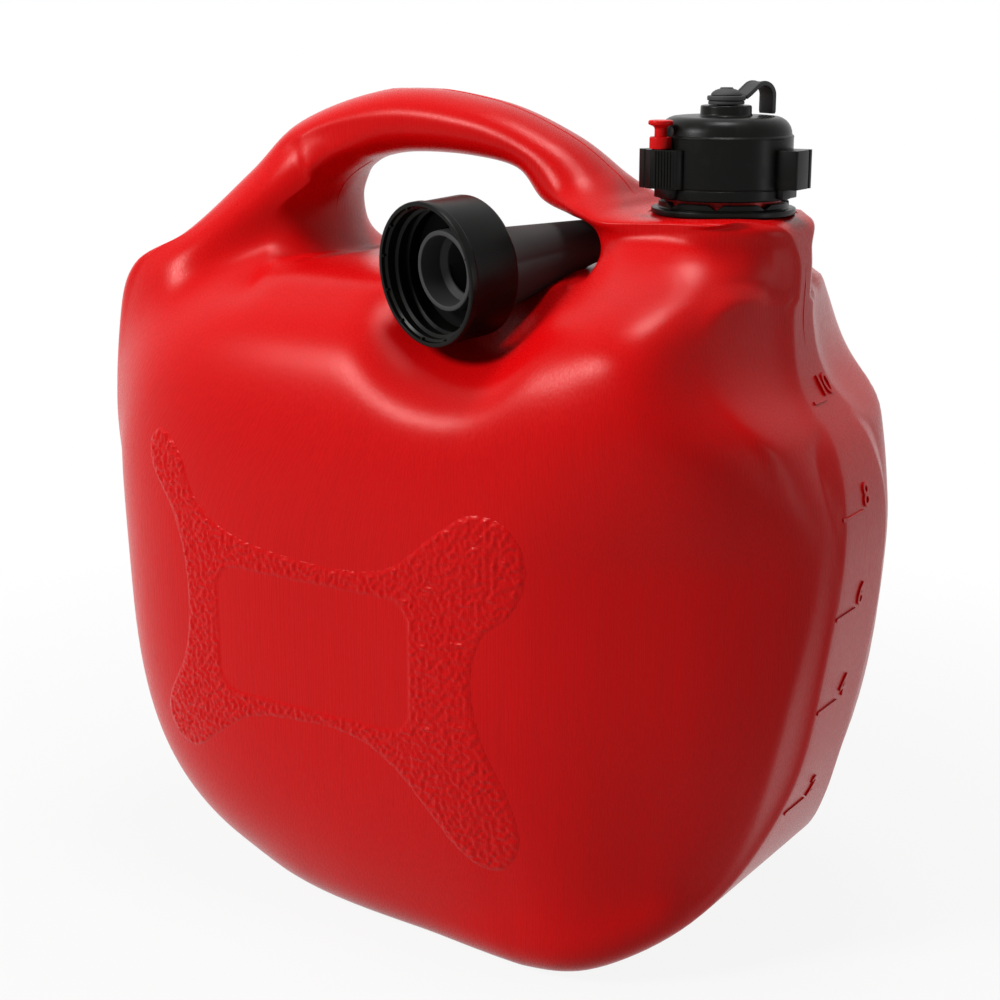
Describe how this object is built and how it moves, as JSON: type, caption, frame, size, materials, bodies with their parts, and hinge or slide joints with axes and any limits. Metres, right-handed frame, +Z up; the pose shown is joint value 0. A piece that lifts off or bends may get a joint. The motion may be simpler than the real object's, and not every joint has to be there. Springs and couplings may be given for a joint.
{
  "type": "fuel can",
  "caption": "Blow-moulded fuel can with an arched handle, a lockable screw cap with a vent stopper, and a pouring spout stored through the grip gap.",
  "frame": {"origin": "On the ground under the middle of the tank.", "axes": "+Z up; +X towards the filler neck; the parting plane of the moulding is Y = 0, and the stored spout's mouth faces -Y."},
  "size_m": [0.3018, 0.1828, 0.3109],
  "materials": {
    "red_tank": "satin red polyethylene with faint flow streaks",
    "red_lock": "smooth red plastic",
    "black_plastic": "satin black plastic",
    "soft_black": "soft satin black plastic",
    "black_rubber": "dull black rubber",
    "spring_steel": "plain spring wire"
  },
  "bodies": {
    "tank": {"tank_body": "red_tank", "neck_ring": "black_plastic"},
    "cap_seal": {"cap_gasket": "black_rubber"},
    "cap": {"cap_shell": "black_plastic", "lock_bush": "red_lock", "lock_spring": "spring_steel"},
    "pin": {"lock_pin": "red_lock"},
    "plug": {"vent_plug": "soft_black", "plug_strap": "soft_black"},
    "spout": {"spout_tube": "soft_black", "spout_gasket": "black_rubber"},
    "collar": {"spout_collar": "black_plastic"}
  },
  "joints": [
    {"name": "cap_lift", "type": "slide", "parent": "tank", "child": "cap_seal", "axis": [0, 0, 1], "range_m": [0, 0.024]},
    {"name": "cap_turn", "type": "hinge", "parent": "cap_seal", "child": "cap", "pos_m": [0.0925, 0, 0.29], "axis": [0, 0, 1], "range_deg": [0, 1440]},
    {"name": "pin_pull", "type": "slide", "parent": "cap", "child": "pin", "axis": [0, 0, 1], "range_m": [0, 0.0035], "stiffness_N_per_m": 300, "springref_m": -0.003, "deforming": ["lock_spring"]},
    {"name": "plug_swing", "type": "hinge", "parent": "cap", "child": "plug", "pos_m": [0.10072, 0.01545, 0.3004], "axis": [-0.8829, 0.4695, 0], "range_deg": [0, 100]},
    {"name": "spout_pull", "type": "slide", "parent": "tank", "child": "spout", "axis": [-0.2697, -0.9596, -0.0802], "range_m": [0, 0.19]},
    {"name": "collar_turn", "type": "hinge", "parent": "spout", "child": "collar", "pos_m": [0.039, 0, 0.2536], "axis": [0.2697, 0.9596, 0.0802], "continuous": true}
  ],
  "couplings": [
    {"joint": "cap_turn", "follows": "cap_lift", "rad_per_m": 1047.2}
  ]
}
